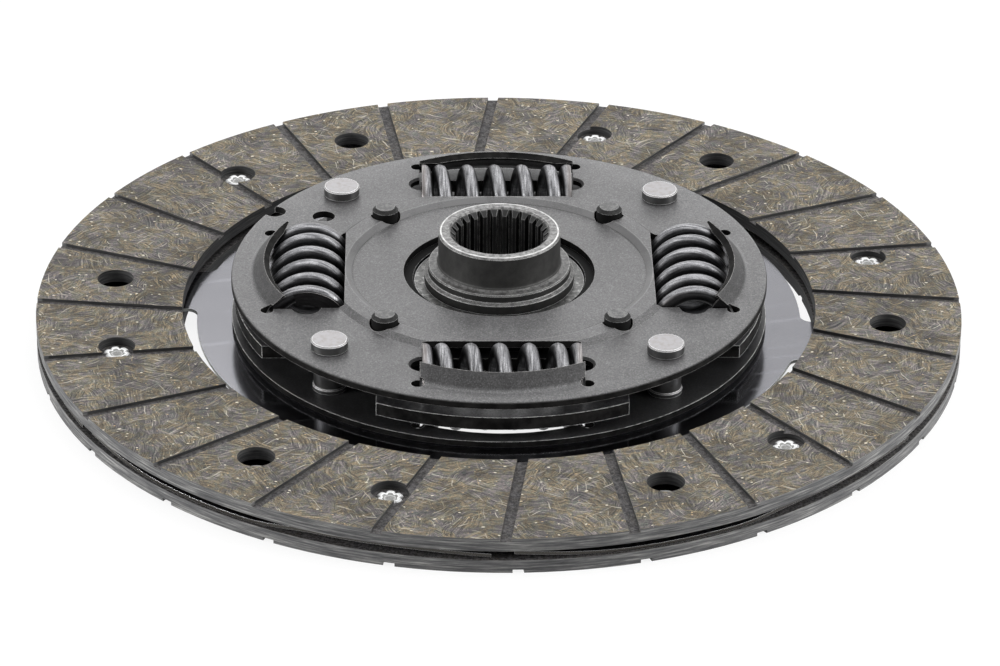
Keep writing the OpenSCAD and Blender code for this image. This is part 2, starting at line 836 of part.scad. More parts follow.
module friction_ring() {
  z = upper_z - friction_ring_t;
  lug_top = upper_top + bead_h + lug_h;
  color([0.07, 0.07, 0.07])
    difference() {
      union() {
        translate([0, 0, z])
          cylinder(r = friction_ring_r, h = friction_ring_t);
        around(spring_n, lug_angle) {
          translate([friction_ring_r - lug_r, -lug_r, z])
            cube([lug_circle_r - friction_ring_r + lug_r, 2 * lug_r, friction_ring_t]);
          post(lug_circle_r, lug_r, z, lug_top - lug_bevel_h - z);
          translate([lug_circle_r, 0, lug_top - lug_bevel_h])
            cylinder(r1 = lug_r, r2 = lug_top_r, h = lug_bevel_h, $fn = 48);
        }
      }
      translate([0, 0, z - over])
        cylinder(r = retaining_r + slack, h = friction_ring_t + 2 * over);
    }
}

// Shallow cone between two flat faces, standing on its outer edge at z
module disc_spring(r_out, r_in, z, h) {
  translate([0, 0, z])
    rotate_extrude()
      polygon([[r_out, 0], [r_out, disc_spring_t], [r_in, h], [r_in, h - disc_spring_t]]);
}

module upper_disc_spring() {
  color([0.45, 0.46, 0.48])
    disc_spring(disc_spring_r, retaining_r + slack, flange_top, upper_z - friction_ring_t - flange_top);
}

module lower_disc_spring() {
  z = cavity_z + friction_washer_t;
  color([0.45, 0.46, 0.48])
    disc_spring(disc_spring_r, disc_spring_bore_r, z, flange_z - z);
}

module lower_friction_washer() {
  color([0.10, 0.10, 0.10])
    ring(friction_washer_r, disc_spring_bore_r, cavity_z, friction_washer_t);
}

module centring_bush() {
  color([0.10, 0.10, 0.11])
    difference() {
      union() {
        translate([0, 0, lower_z])
          cylinder(r = lower_bore_r, h = retainer_t);
        translate([0, 0, cavity_z])
          cylinder(r = lower_bore_r + bush_flange_w, h = bush_flange_t);
      }
      translate([0, 0, lower_z - over])
        cylinder(r = neck_r + running, h = retainer_t + bush_flange_t + 2 * over);
    }
}

hub();
hub_flange();
retaining_collar();
upper_retainer_plate();
lower_retainer_plate();
driven_plate();
upper_facing();
lower_facing();
upper_facing_rivets();
lower_facing_rivets();
torsion_spring(0);  // torsion_spring_1
torsion_spring(1);  // torsion_spring_2
torsion_spring(2);  // torsion_spring_3
torsion_spring(3);  // torsion_spring_4
stop_pin(0);  // stop_pin_1
stop_pin(1);  // stop_pin_2
stop_pin(2);  // stop_pin_3
stop_pin(3);  // stop_pin_4
friction_ring();
upper_disc_spring();
lower_disc_spring();
lower_friction_washer();
centring_bush();
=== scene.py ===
"""Looks of the clutch disc: finishes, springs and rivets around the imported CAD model."""

import math
from functools import cached_property

import bmesh
import bpy
from mathutils import Matrix, Vector


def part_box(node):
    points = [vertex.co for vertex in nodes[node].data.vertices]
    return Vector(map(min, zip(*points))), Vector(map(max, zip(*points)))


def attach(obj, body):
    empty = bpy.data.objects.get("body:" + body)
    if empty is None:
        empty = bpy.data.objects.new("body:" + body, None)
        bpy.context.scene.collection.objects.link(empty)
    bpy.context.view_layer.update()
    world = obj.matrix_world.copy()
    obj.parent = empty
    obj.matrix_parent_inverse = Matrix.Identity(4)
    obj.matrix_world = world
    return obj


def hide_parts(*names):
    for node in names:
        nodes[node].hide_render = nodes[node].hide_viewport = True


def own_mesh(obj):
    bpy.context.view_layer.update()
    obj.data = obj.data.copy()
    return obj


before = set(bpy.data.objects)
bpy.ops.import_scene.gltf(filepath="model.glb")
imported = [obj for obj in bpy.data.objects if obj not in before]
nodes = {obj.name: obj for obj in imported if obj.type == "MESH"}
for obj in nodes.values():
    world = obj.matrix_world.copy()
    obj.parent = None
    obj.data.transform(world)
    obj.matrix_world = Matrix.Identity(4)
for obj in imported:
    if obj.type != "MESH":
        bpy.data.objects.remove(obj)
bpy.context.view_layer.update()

MM = 0.001

# Photograph's camera, solved from the outlines of the facings and the damper. Its lens and sensor are in
# millimetres, and distances are in metres.
LENS = 180.4
SENSOR = 36.0
CLIP_START = 0.05
CAMERA_DISTANCE = 1.29784
CAMERA_ELEVATION = math.radians(28.75)
CAMERA_ROLL = math.radians(0.452)
CAMERA_TARGET = Vector((0.344, -8.921, 4.75)) * MM

# Heights and radii that the finishes depend on. The upper plate's lips stand about LIP_RISE above its level face.
FACE_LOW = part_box("lower_facing")[0].z
FACE_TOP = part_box("upper_facing")[1].z
FACING_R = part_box("upper_facing")[1].x
HUB_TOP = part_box("hub")[1].z
LIP_RISE = 4 * MM
PLATE_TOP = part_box("upper_retainer_plate")[1].z - LIP_RISE
COLLAR_R = 15.8 * MM
SPLINE_EDGE_R = 12.7 * MM
BEAD_IN_R = 38 * MM
BEAD_SLOPE_W = 1.9 * MM

# Torsion springs, with the sizes that part.scad gives them. Angles are in degrees.
SPRING_COUNT = 4
SPRING_R = 49.6 * MM
SPRING_AXIS_Z = 11.725 * MM
SPRING_LENGTH = 39.9 * MM
SPRING_D = 22 * MM
SPRING_ROLL = (-198, 0, -108, 0)
WINDOW_TURN = 1.1
SPRING_TURNS = 6.7
WIRE_D = 3.9 * MM
COIL_GAP = 0.12 * MM
TIP_T = 1.2 * MM
EASING = 0.3

# What the scene adds to the springs: the fineness of the mesh
WIRE_SIDES = 24
RINGS_A_TURN = 44

# Distance from the springs' axis, along the disc's axis, at which the cut ends of the lips begin
LIP_END_Z = 8.2 * MM

# Facing rivets, with the sizes that part.scad gives them. Angles are in degrees.
RIVET_COUNT = 6
RIVET_CIRCLE_R = 101 * MM
UPPER_RIVET_ANGLE = 15
LOWER_RIVET_ANGLE = -6
RIVET_SHANK_R = 1.9 * MM
RIVET_HEAD_R = 3.45 * MM
RIVET_HEAD_T = 0.75 * MM

# Rolled rivet ends as the photo shows them: lobes round a shallow dish, turned from one rivet to the next
RIVET_DISH_R = 1.45 * MM
RIVET_DISH_Z = 0.25 * MM
RIVET_LOBES = 6
NOTCH_SHARE = 0.20
NOTCH_DROP = 0.25 * MM
RIVET_SPIN = 0.7
RIVET_SIDES = 84

# Smooth shading
SMOOTH_ANGLE = math.radians(40)
RIVET_SMOOTH_ANGLE = math.radians(60)
CAD_SMOOTH_ANGLE = math.radians(28)
CAD_MERGE_GAP = 0.002 * MM
BEVEL_SAMPLES = 6

# Floor and sky. The floor lies just below the lower facing, and the sky lights the object less than it shows.
FLOOR_HALF = 3.0
FLOOR_GAP = 0.01 * MM
SKY_LIGHT = 0.2

# Fibres of the friction face. A tuft turns by up to TUFT_TURN radians, which is more than once round.
FIBRE_LENGTH = 6 * MM
FIBRE_WIDTH = 0.42 * MM
TUFT_TURN = 9.4
TUFT_BEND = 1.1
TUFT_LAYERS = 40.0
SWIRL = 0.0055

# Colours along the friction face's height, and its patches of hue
FACE_TONES = [
    (0.34, (0.016, 0.015, 0.015)), (0.43, (0.060, 0.057, 0.052)), (0.50, (0.116, 0.109, 0.095)),
    (0.57, (0.200, 0.184, 0.150)), (0.65, (0.42, 0.385, 0.305)),
]
FACE_HUES = [
    (0.32, (0.84, 0.94, 0.98)), (0.42, (1.02, 0.95, 1.14)), (0.50, (0.96, 1.00, 0.92)),
    (0.57, (1.20, 1.02, 0.78)), (0.63, (1.05, 0.97, 0.92)), (0.70, (0.92, 0.96, 1.06)),
]
WALL_TONES = [
    (0.30, (0.045, 0.045, 0.047)), (0.48, (0.115, 0.115, 0.117)), (0.58, (0.200, 0.199, 0.195)),
    (0.70, (0.38, 0.375, 0.36)),
]

# Single strands: direction in degrees, length and width in millimetres, reach in their cell, share of the cells
STRANDS = (
    (20, 9.0, 0.40, 0.33, 0.13),
    (75, 8.0, 0.38, 0.32, 0.12),
    (140, 10.0, 0.40, 0.33, 0.13),
)
STRAND_TINTS = [
    (0.0, (0.32, 0.25, 0.15)), (0.18, (0.24, 0.22, 0.16)), (0.42, (0.04, 0.038, 0.037)),
    (0.68, (0.40, 0.37, 0.31)), (0.90, (0.60, 0.56, 0.47)),
]

# Specks: size in millimetres, share of the cells that stay empty, colour
SPECKS = (
    (1.1, 0.88, (0.80, 0.74, 0.60)),
    (0.8, 0.92, (0.56, 0.40, 0.22)),
)


def scaled(colour, factor):
    return tuple(factor * c for c in colour)


# Node graphs

class Graph:
    """Node tree of a material or of the world. Inputs are given by name, as a value or as the output that
    feeds them."""

    def __init__(self, owner):
        self.owner = owner
        owner.use_nodes = True
        self.tree = owner.node_tree
        self.tree.nodes.clear()

    @cached_property
    def place(self):
        return self.add("TexCoord").outputs["Object"]

    @cached_property
    def z(self):
        return self.part(self.place, "Z")

    @cached_property
    def level_place(self):
        """Place with its height taken away."""
        return self.vector("MULTIPLY", self.place, (1, 1, 0))

    @cached_property
    def radius(self):
        """Distance from the disc's axis."""
        return self.length(self.level_place)

    @cached_property
    def true_normal(self):
        return self.add("NewGeometry").outputs["True Normal"]

    def add(self, kind, inputs=None, **settings):
        node = self.tree.nodes.new("ShaderNode" + kind)
        for key, value in settings.items():
            setattr(node, key, value)
        for key, value in (inputs or {}).items():
            self.feed(node.inputs[key], value)
        return node

    def feed(self, socket, value):
        if isinstance(value, bpy.types.NodeSocket):
            self.tree.links.new(value, socket)
        elif socket.type == "RGBA":
            socket.default_value = (*value, 1)
        else:
            socket.default_value = value

    def math(self, operation, a, b=0.0, c=0.0):
        return self.add("Math", {0: a, 1: b, 2: c}, operation=operation).outputs[0]

    def times(self, a, b):
        return self.math("MULTIPLY", a, b)

    def off(self, value, middle):
        """Distance of a number from a middle one."""
        return self.math("ABSOLUTE", self.math("SUBTRACT", value, middle))

    def vector(self, operation, a, b=(0, 0, 0)):
        node = self.add("VectorMath", {0: a}, operation=operation)
        self.feed(node.inputs["Scale" if operation == "SCALE" else 1], b)
        return node.outputs["Vector"]

    def length(self, vector):
        return self.add("VectorMath", {0: vector}, operation="LENGTH").outputs["Value"]

    def dot(self, a, b):
        return self.add("VectorMath", {0: a, 1: b}, operation="DOT_PRODUCT").outputs["Value"]

    def turned(self, vector, angle):
        """Vector turned round the Z axis, by an angle in radians."""
        inputs = {"Vector": vector, "Angle": angle}
        return self.add("VectorRotate", inputs, rotation_type="Z_AXIS").outputs["Vector"]

    def part(self, vector, axis):
        return self.add("SeparateXYZ", {0: vector}).outputs[axis]

    def noise(self, size, detail=3.0, rough=0.5, place=None, output="Fac"):
        """Noise whose blotches are about size metres across."""
        inputs = {"Vector": place or self.place, "Scale": 1 / size, "Detail": detail, "Roughness": rough}
        return self.add("TexNoise", inputs).outputs[output]

    def cells(self, place, output):
        return self.add("TexVoronoi", {"Vector": place, "Scale": 1.0}).outputs[output]

    def rise(self, value, low, high, to_low=0.0, to_high=1.0):
        """Smooth step of value from low to high."""
        inputs = {"Value": value, "From Min": low, "From Max": high, "To Min": to_low, "To Max": to_high}
        return self.add("MapRange", inputs, interpolation_type="SMOOTHSTEP").outputs["Result"]

    def mix(self, share, a, b, blend="MIX"):
        """Colour between a and b."""
        node = self.add("Mix", data_type="RGBA", blend_type=blend, clamp_factor=True)
        self.feed(node.inputs[0], share)
        self.feed(node.inputs[6], a)
        self.feed(node.inputs[7], b)
        return node.outputs[2]

    def blend(self, share, a, b):
        """Plain number between a and b."""
        node = self.add("Mix", data_type="FLOAT", clamp_factor=True)
        self.feed(node.inputs[0], share)
        self.feed(node.inputs[2], a)
        self.feed(node.inputs[3], b)
        return node.outputs[0]

    def ramp(self, value, stops, steps=False):
        node = self.add("ValToRGB", {"Fac": value})
        band = node.color_ramp
        band.interpolation = "CONSTANT" if steps else "LINEAR"
        while len(band.elements) < len(stops):
            band.elements.new(0.5)
        for element, (at, colour) in zip(band.elements, stops):
            element.position = at
            element.color = (*colour, 1)
        return node.outputs["Color"]

    def upright(self, low=0.85, high=0.3):
        """1 on walls and 0 on level faces."""
        return self.rise(self.math("ABSOLUTE", self.part(self.true_normal, "Z")), low, high)

    def edges(self, radius, sharp=0.9):
        """(rounded normal, 1 along the piece's edges and 0 elsewhere)."""
        normal = self.add("Bevel", {"Radius": radius}, samples=BEVEL_SAMPLES).outputs["Normal"]
        return normal, self.rise(self.dot(normal, self.true_normal), 0.995, sharp)

    def bump(self, height, depth, normal=None):
        """Bump of a height that runs from 0 to 1 over depth metres."""
        node = self.add("Bump", {"Height": height, "Distance": depth, "Strength": 1.0})
        if normal is not None:
            self.feed(node.inputs["Normal"], normal)
        return node.outputs["Normal"]

    def finish(self, **inputs):
        """Surface shader with inputs named like its sockets, with _ for a space."""
        shader = self.add("BsdfPrincipled", {key.replace("_", " "): value for key, value in inputs.items()})
        self.add("OutputMaterial", {"Surface": shader.outputs["BSDF"]})
        return self.owner


def new_look(name):
    return Graph(bpy.data.materials.new(name))


# Friction facings

def tufts(g, place, size, seed):
    """Bent parallel streaks in patches about size metres across, each patch with a direction of its own."""
    flattened = g.vector("MULTIPLY", place, (1, 1, 0.2))
    patch_place = g.vector("ADD", g.vector("SCALE", flattened, 1 / size), (seed, 0, 0))
    patch = g.add("TexVoronoi", {"Vector": patch_place, "Scale": 1.0}).outputs
    lot = patch["Color"]
    from_middle = g.vector("SUBTRACT", patch_place, patch["Position"])
    turned = g.turned(from_middle, g.times(g.part(lot, "X"), TUFT_TURN))
    along, across = g.part(turned, "X"), g.part(turned, "Y")
    bend = g.times(g.times(along, along), g.math("SUBTRACT", g.part(lot, "Y"), 0.5))
    bent = g.math("MULTIPLY_ADD", bend, TUFT_BEND, across)
    line = g.add("CombineXYZ", {
        "X": g.times(along, size / FIBRE_LENGTH),
        "Y": g.times(bent, size / FIBRE_WIDTH),
        "Z": g.times(g.part(lot, "Z"), TUFT_LAYERS),
    }).outputs["Vector"]
    return g.noise(1.0, 4, 0.72, line)


def friction_face(g, swirled):
    """(colour, height) of the ground face: tufts of two sizes and grit, in patches of tone and hue."""
    large, small = tufts(g, swirled, 17 * MM, 0.0), tufts(g, swirled, 10 * MM, 7.3)
    streaks = g.blend(g.rise(g.noise(6 * MM, 3), 0.46, 0.54), large, small)
    height = g.blend(0.3, streaks, g.noise(0.45 * MM, 3, 0.7))
    tone = g.rise(g.noise(14 * MM, 4, 0.65), 0.36, 0.62, 0.68, 1.20)
    tint = g.vector("SCALE", g.ramp(height, FACE_TONES), tone)
    hue = g.ramp(g.noise(4.4 * MM, 3, 0.65), FACE_HUES)
    return g.mix(1.0, tint, hue, "MULTIPLY"), height


def with_strands(g, swirled, tint):
    """Colour with single fibres on it, in three directions."""
    for angle, length, width, reach, share in STRANDS:
        turned = g.turned(swirled, math.radians(angle))
        stretched = g.vector("MULTIPLY", turned, tuple(1 / (s * MM) for s in (length, width, 2 * width)))
        lot = g.cells(stretched, "Color")
        strand = g.rise(g.cells(stretched, "Distance"), reach + 0.12, reach - 0.04)
        strand = g.times(strand, g.math("LESS_THAN", g.part(lot, "X"), share))
        tint = g.mix(g.times(strand, 0.65), tint, g.ramp(g.part(lot, "Y"), STRAND_TINTS, steps=True))
    return tint


def with_specks(g, swirled, tint):
    """Colour with short bright and brown crumbs on it."""
    for size, empty_share, colour in SPECKS:
        speck_place = g.vector("MULTIPLY", swirled, tuple(1 / (s * size * MM) for s in (1.7, 1, 1)))
        speck = g.rise(g.cells(speck_place, "Distance"), 0.24, 0.13)
        filled = g.math("GREATER_THAN", g.part(g.cells(speck_place, "Color"), "X"), empty_share)
        tint = g.mix(g.times(speck, filled), tint, colour)
    return tint


def layered_wall(g, wall_light):
    """(colour, height) of the walls: pressed layers at the rim, and painted shade that makes them nearly black
    further in.
    """
    layers = g.noise(1.0, 5, 0.7, g.vector("MULTIPLY", g.place, (90, 90, 1 / (0.5 * MM))))
    tint = g.ramp(layers, [(at, scaled(colour, wall_light)) for at, colour in WALL_TONES])
    # Painted shade on the walls away from the rim.
    shade_further_in = g.rise(g.radius, FACING_R - 0.8 * MM, FACING_R - 1.6 * MM, 0, 0.75)
    return g.mix(shade_further_in, tint, (0.008, 0.008, 0.009)), layers


def facing_look(name, face_z, inward, wall_light):
    """Friction composite: fibres in a ground face, layered grey walls, dark grainy groove floors. face_z is the
    height of the friction face, and inward is -1 where the facing lies below it."""
    g = new_look(name)
    swirl = g.vector("SUBTRACT", g.noise(12 * MM, 2, output="Color"), (0.5, 0.5, 0.5))
    swirled = g.vector("ADD", g.place, g.vector("SCALE", swirl, SWIRL))
    tint, height = friction_face(g, swirled)
    tint = with_specks(g, swirled, with_strands(g, swirled, tint))

    depth = g.times(g.math("SUBTRACT", g.z, face_z), inward)
    floor = g.rise(depth, 0.2 * MM, 0.6 * MM)
    floor_grain = g.rise(g.noise(0.9 * MM, 4, 0.75), 0.38, 0.64)
    floor_tint = g.mix(floor_grain, (0.022, 0.021, 0.023), (0.125, 0.12, 0.123))
    tint = g.mix(g.times(floor, 0.9), tint, floor_tint)

    wall = g.upright(0.7, 0.3)
    wall_tint, layers = layered_wall(g, wall_light)
    tint = g.mix(wall, tint, wall_tint)
    normal, edge = g.edges(0.15 * MM)
    tint = g.mix(g.times(edge, 0.35), tint, (0.24, 0.225, 0.19))
    height = g.blend(wall, height, layers)
    return g.finish(Base_Color=tint, Roughness=0.78, Specular_IOR_Level=0.3,
                    Normal=g.bump(height, 0.07 * MM, normal))


# Metals and plastic

def dark_steel(name, colour, roughness, specular, worn_and_highlit=(0.55, 0.54, 0.53), edge_share=0.8, edge_w=0.22 * MM,
               wall_light=1.0, rubbed=0.4, painted_lines=()):
    """Phosphated steel: a dark satin skin, mottled and fine-grained on the level faces, with painted shade that
    makes the sheared walls and the cut ends of the lips nearly black, and light along its edges, partly from wear
    and partly a painted highlight. Each painted line runs round the disc's axis, given by its radius, half width,
    share and colour."""
    g = new_look(name)
    # Faces that get painted shade: the walls, and the cut ends of the lips that face inward.
    faces_out = g.dot(g.true_normal, g.vector("NORMALIZE", g.level_place))
    past_lips = g.rise(g.off(g.z, SPRING_AXIS_Z), LIP_END_Z - 0.2 * MM, LIP_END_Z + 0.2 * MM)
    lip_end = g.times(g.rise(faces_out, -0.2, -0.45), past_lips)
    wall = g.math("MAXIMUM", g.upright(0.9, 0.35), lip_end)

    mottle = g.rise(g.noise(8 * MM, 5, 0.65), 0.3, 0.7)
    tint = g.mix(mottle, scaled(colour, 0.72), scaled(colour, 1.22))
    grain = g.noise(0.4 * MM, 3, 0.75)
    tint = g.mix(g.rise(grain, 0.50, 0.38, 0, 0.65), tint, scaled(colour, 0.3))
    tint = g.mix(g.rise(grain, 0.53, 0.68, 0, 0.65), tint, scaled(colour, 2.8))
    rub = g.rise(g.noise(2.2 * MM, 4, 0.7), 0.86 - 0.7 * rubbed, 0.74, 0, rubbed)
    tint = g.mix(rub, tint, scaled(colour, 2 + rubbed))
    # Painted lines round the axis: painted shade where their colour is dark, painted light where it is light.
    for crease_r, half_w, share, painted_line_tint in painted_lines:
        patchy = g.rise(g.noise(7 * MM, 3), 0.32, 0.6, 0.35 * share, share)
        line = g.rise(g.off(g.radius, crease_r), half_w, 0.3 * half_w)
        tint = g.mix(g.times(line, patchy), tint, painted_line_tint)

    # Painted shade: walls and lip ends get a nearly black colour, and a metallic base so that they mirror little.
    blotch = g.rise(g.noise(3.5 * MM, 3, 0.6), 0.25, 0.85)
    wall_tint = g.mix(blotch, (0.006, 0.006, 0.006), scaled((0.035, 0.034, 0.033), wall_light))
    tint = g.mix(wall, tint, wall_tint)
    # Light along the edges: partly wear, partly a painted highlight.
    normal, edge = g.edges(edge_w)
    wear_and_highlight_share = g.times(edge, g.rise(g.noise(1.3 * MM, 3), 0.3, 0.55, 0.3 * edge_share, edge_share))
    tint = g.mix(wear_and_highlight_share, tint, worn_and_highlit)
    rough = g.blend(wall, g.blend(mottle, roughness - 0.06, roughness + 0.07), 0.92)
    metal = g.times(wall, g.blend(wear_and_highlight_share, 0.85, 0.3))
    return g.finish(Base_Color=tint, Roughness=rough, Specular_IOR_Level=specular, Metallic=metal,
                    Normal=g.bump(grain, 0.015 * MM, normal))


def tarnished(g, colour, share):
    """(clouds of tarnish, colour with them)."""
    cloud = g.rise(g.noise(1.6 * MM, 5, 0.65), 0.4, 0.75)
    return cloud, g.mix(g.times(cloud, share), colour, (0.20, 0.16, 0.13))


def bright_edges(g, tint):
    """(colour with bright edges painted on as a highlight, share of the edges, finely grained normal)."""
    normal, edge = g.edges(0.25 * MM, 0.97)
    # Painted highlight: a near-white tint along the edges.
    tint = g.mix(g.times(edge, 0.9), tint, (0.95, 0.95, 0.95))
    return tint, edge, g.bump(g.noise(0.25 * MM, 3), 0.006 * MM, normal)


def bright_steel(name, colour, roughness, tarnish, shaded_wall_colour=None, patches=0.0):
    """Bare machined steel with a light tarnish and bright edges, painted as a highlight. It may have light and
    dark patches, and walls with painted shade, a darker given colour with patches of rust."""
    g = new_look(name)
    cloud, tint = tarnished(g, colour, tarnish)
    if patches:
        tint = g.mix(g.rise(g.noise(1.5 * MM, 4, 0.7), 0.50, 0.66, 0, patches), tint, scaled(colour, 3.4))
        tint = g.mix(g.rise(g.noise(1.1 * MM, 4, 0.7), 0.48, 0.36, 0, patches), tint, scaled(colour, 0.3))
    # Painted shade on the walls, with patches of rust.
    if shaded_wall_colour:
        rust = g.rise(g.noise(2.5 * MM, 4, 0.7), 0.55, 0.75, 0, 0.7)
        tint = g.mix(g.upright(), tint, g.mix(rust, shaded_wall_colour, (0.055, 0.036, 0.025)))
    tint, edge, normal = bright_edges(g, tint)
    rough = g.math("ADD", g.blend(cloud, roughness - 0.05, roughness + 0.12), g.times(edge, 0.25))
    return g.finish(Base_Color=tint, Metallic=g.blend(edge, 1.0, 0.35), Roughness=rough, Normal=normal)


def zinc_look(name, colour, dish_z):
    """Dull zinc with bright edges painted as a highlight, and painted shade that makes it grey in the dishes
    below the height dish_z.
    """
    g = new_look(name)
    tint = tarnished(g, colour, 0.1)[1]
    # Painted shade in the dishes of the rolled ends.
    dish_shade = g.rise(g.z, dish_z, dish_z - 0.2 * MM)
    tint = g.mix(dish_shade, tint, g.mix(g.noise(0.9 * MM, 3), (0.13, 0.13, 0.125), (0.34, 0.34, 0.33)))
    tint, _, normal = bright_edges(g, tint)
    return g.finish(Base_Color=tint, Metallic=0.3, Roughness=0.6, Normal=normal)


def driven_look(name):
    """Smooth rolled spring steel that mirrors what stands on it, with faint parallel scratches. Its walls get a
    light tint at the inner edge, a painted highlight, and painted shade that makes them dark brown between the
    facings."""
    g = new_look(name)
    line = g.vector("MULTIPLY", g.turned(g.place, math.radians(-14)), (12, 1 / (2.6 * MM), 1))
    scratch = g.rise(g.noise(1.0, 4, place=line), 0.58, 0.68)
    cloud = g.noise(14 * MM, 4)
    tint = g.mix(cloud, (0.30, 0.30, 0.325), (0.35, 0.35, 0.375))
    tint = g.mix(g.times(scratch, 0.55), tint, (0.17, 0.17, 0.19))
    wall = g.upright()
    # Painted shade: walls between the facings are dark brown; the inner walls get a light tint, a painted
    # highlight.
    between = g.rise(g.radius, FACING_R - 7 * MM, FACING_R - 6 * MM)
    tint = g.mix(wall, tint, g.mix(between, (0.80, 0.81, 0.78), (0.045, 0.041, 0.036)))
    normal, edge = g.edges(0.12 * MM)
    # Painted highlight: a light tint along the edges.
    tint = g.mix(edge, tint, (0.80, 0.81, 0.82))
    rough = g.blend(wall, g.blend(scratch, 0.13, 0.22), 0.4)
    return g.finish(Base_Color=tint, Metallic=g.blend(wall, 1.0, 0.35), Roughness=rough,
                    Normal=g.bump(cloud, 0.01 * MM, normal))


def hub_look(name):
    """Hub steel with fine tool marks: painted shade that darkens the walls, light machined skin on the shoulders
    and on the top rim, whose outer edge is turned bright and painted as a highlight, painted highlights along the
    edges, and painted shade in the spline."""
    g = new_look(name)
    wall = g.upright(0.92, 0.5)
    marks = g.add("TexNoise", {"W": g.math("DIVIDE", g.radius, 0.15 * MM), "Scale": 1.0, "Detail": 2.0},
                  noise_dimensions="1D").outputs["Fac"]
    grain = g.noise(0.4 * MM, 4, 0.7)
    patch = g.rise(g.noise(1.2 * MM, 4, 0.7), 0.38, 0.64)
    # Painted shade: the walls get a much darker tint than the level faces, and are made metallic so that they
    # mirror little.
    dark = g.mix(g.noise(3 * MM, 4, 0.7), (0.020, 0.020, 0.020), (0.066, 0.065, 0.063))
    light = g.mix(patch, (0.045, 0.044, 0.043), (0.155, 0.153, 0.15))
    tint = g.mix(wall, light, dark)
    rim = g.rise(g.z, HUB_TOP - 0.7 * MM, HUB_TOP - 0.3 * MM)
    tint = g.mix(rim, tint, g.mix(patch, (0.08, 0.079, 0.078), (0.27, 0.268, 0.265)))
    # Painted shade inside the spline bore.
    spline_in, spline_out = SPLINE_EDGE_R - 0.2 * MM, SPLINE_EDGE_R + 0.2 * MM
    tint = g.mix(g.rise(g.radius, spline_out, spline_in), tint, (0.02, 0.02, 0.02))

    # Painted highlights: a light tint along the edges and along the turned outer edge of the top rim, which is
    # also bright metal.
    normal, edge = g.edges(g.blend(rim, 0.35 * MM, 0.12 * MM))
    from_turned_edge = g.off(g.radius, COLLAR_R - 0.62 * MM)
    turned_edge_highlight = g.times(rim, g.rise(from_turned_edge, 0.28 * MM, 0.12 * MM))
    edge = g.math("MAXIMUM", edge, turned_edge_highlight)
    edge = g.times(edge, g.rise(g.noise(1.8 * MM, 4, 0.7), 0.36, 0.56, 0.4, 1.0))
    edge_share = g.times(edge, g.rise(g.radius, spline_in, spline_out, 0.3, 0.85))
    tint = g.mix(edge_share, tint, (0.75, 0.75, 0.74))
    metal = g.math("MAXIMUM", g.times(rim, 0.3), g.times(wall, 0.85))
    rough = g.blend(wall, g.blend(grain, 0.32, 0.5), 0.6)
    height = g.blend(0.4, grain, marks)
    return g.finish(Base_Color=tint, Metallic=g.blend(edge, metal, 0.4), Roughness=rough,
                    Specular_IOR_Level=0.4, Normal=g.bump(height, 0.02 * MM, normal))


def spring_look(name):
    """Spring wire: grey, pitted and brushed along its length, with painted shade that makes it black between the
    coils, on its undersides and in its lower half, and with brownish ends. It is laid out in the spring's own
    place, whose axis runs along Y."""
    g = new_look(name)
    pits = g.noise(0.3 * MM, 3, 0.75)
    across = g.vector("SUBTRACT", g.place, (SPRING_R, 0, SPRING_AXIS_Z))
    round_axis = g.math("ARCTAN2", g.part(across, "Z"), g.part(across, "X"))
    from_axis = g.length(g.vector("MULTIPLY", across, (1, 0, 1)))
    streak_place = g.add("CombineXYZ", {
        "X": g.times(round_axis, SPRING_D / 2 / (7 * MM)),
        "Y": g.math("DIVIDE", g.part(across, "Y"), 0.45 * MM),
        "Z": g.math("DIVIDE", from_axis, 0.45 * MM),
    }).outputs["Vector"]
    brushed = g.noise(1.0, 4, 0.7, streak_place)
    cloud = g.rise(g.noise(5 * MM, 4, 0.6), 0.35, 0.7)
    tint = g.mix(cloud, (0.15, 0.15, 0.157), (0.23, 0.23, 0.24))
    tint = g.mix(g.rise(brushed, 0.5, 0.62, 0, 0.75), tint, (0.40, 0.40, 0.41))
    tint = g.mix(g.rise(brushed, 0.48, 0.36, 0, 0.75), tint, (0.03, 0.03, 0.032))
    tint = g.mix(g.rise(pits, 0.50, 0.38, 0, 0.5), tint, (0.035, 0.035, 0.037))
    along = g.math("ABSOLUTE", g.part(g.place, "Y"))
    ground = g.rise(along, SPRING_LENGTH / 2 - 1.8 * MM, SPRING_LENGTH / 2 - 0.5 * MM, 0, 0.5)
    tint = g.mix(ground, tint, (0.17, 0.15, 0.14))

    # Painted shade: flanks that face the next coil, undersides and the lower half of the spring get a near-black
    # tint.
    shading_normal = g.add("TexCoord").outputs["Normal"]
    flank = g.rise(g.math("ABSOLUTE", g.part(shading_normal, "Y")), 0.55, 0.9)
    below = g.rise(g.part(g.true_normal, "Z"), 0.15, -0.3)
    deep = g.rise(g.part(across, "Z"), 3 * MM, -3 * MM, 0, 0.75)
    shade = g.math("MAXIMUM", g.math("MAXIMUM", below, flank), deep)
    tint = g.mix(g.times(shade, 0.9), tint, (0.010, 0.010, 0.011))
    return g.finish(Base_Color=tint, Metallic=0.95, Roughness=g.blend(cloud, 0.40, 0.52),
                    Normal=g.bump(pits, 0.015 * MM))


